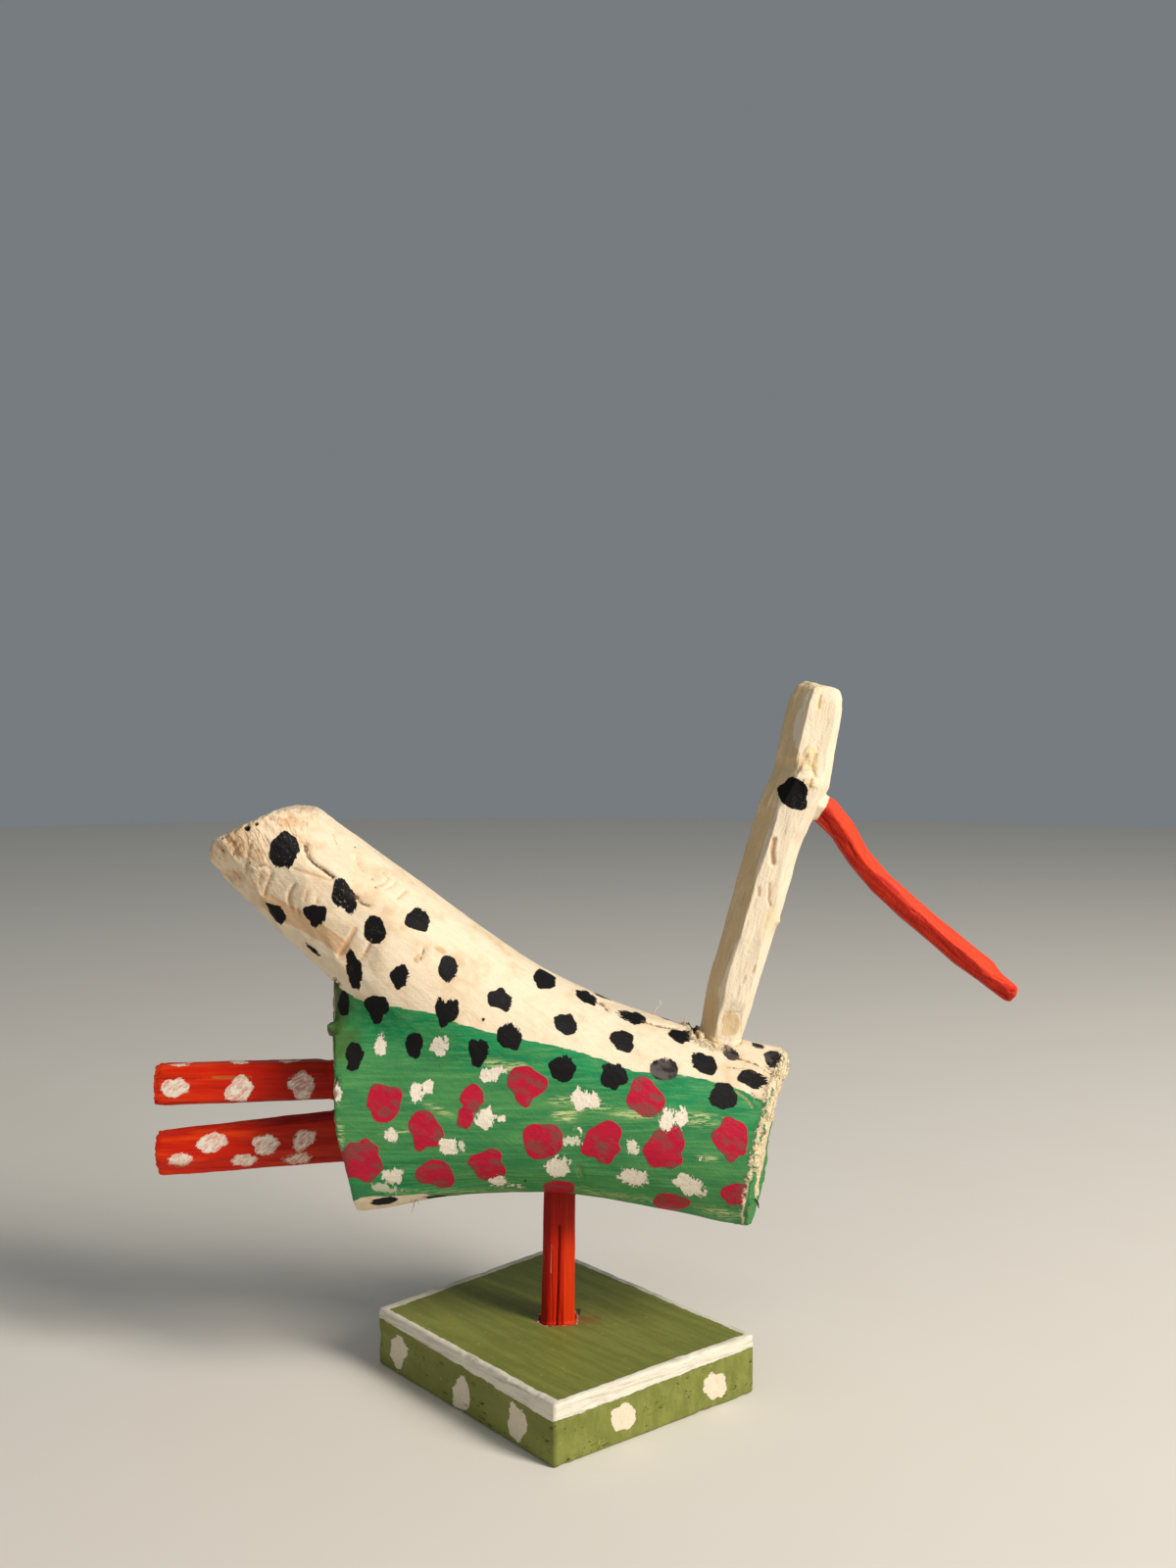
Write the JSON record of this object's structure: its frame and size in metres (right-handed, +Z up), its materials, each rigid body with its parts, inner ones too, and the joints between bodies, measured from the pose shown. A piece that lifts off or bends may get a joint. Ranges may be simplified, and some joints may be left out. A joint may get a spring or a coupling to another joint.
{
  "type": "wooden bird figurine",
  "caption": "Painted long-billed bird made from a sawn forked branch and twigs, standing on a stick leg set in a square board; a shelf or table ornament.",
  "frame": {"origin": "middle of the board's underside, below the leg", "axes": "+Z up from the surface it stands on, +X along the body from the tail towards the beak, +Y towards the side that the picture doesn't show"},
  "size_m": [0.2776, 0.1229, 0.2258],
  "materials": {
    "base_paint": "hand-brushed olive green paint with a white line along the top edges and white dots on the sides",
    "body_paint": "hand-brushed green flanks under a cream back, with black, magenta and white dabs, on a peeled branch with raw sawn ends",
    "neck_paint": "thin white paint over knife facets, a black painted eye, and a red-orange beak",
    "red_paint": "satin red paint over riven facets, with brushed white dabs on the tail sticks"
  },
  "bodies": {
    "root": {"base_board": "base_paint", "leg_stick": "red_paint", "body_branch": "body_paint", "neck_and_beak": "neck_paint", "tail_stick_upper": "red_paint", "tail_stick_lower": "red_paint"}
  },
  "joints": []
}
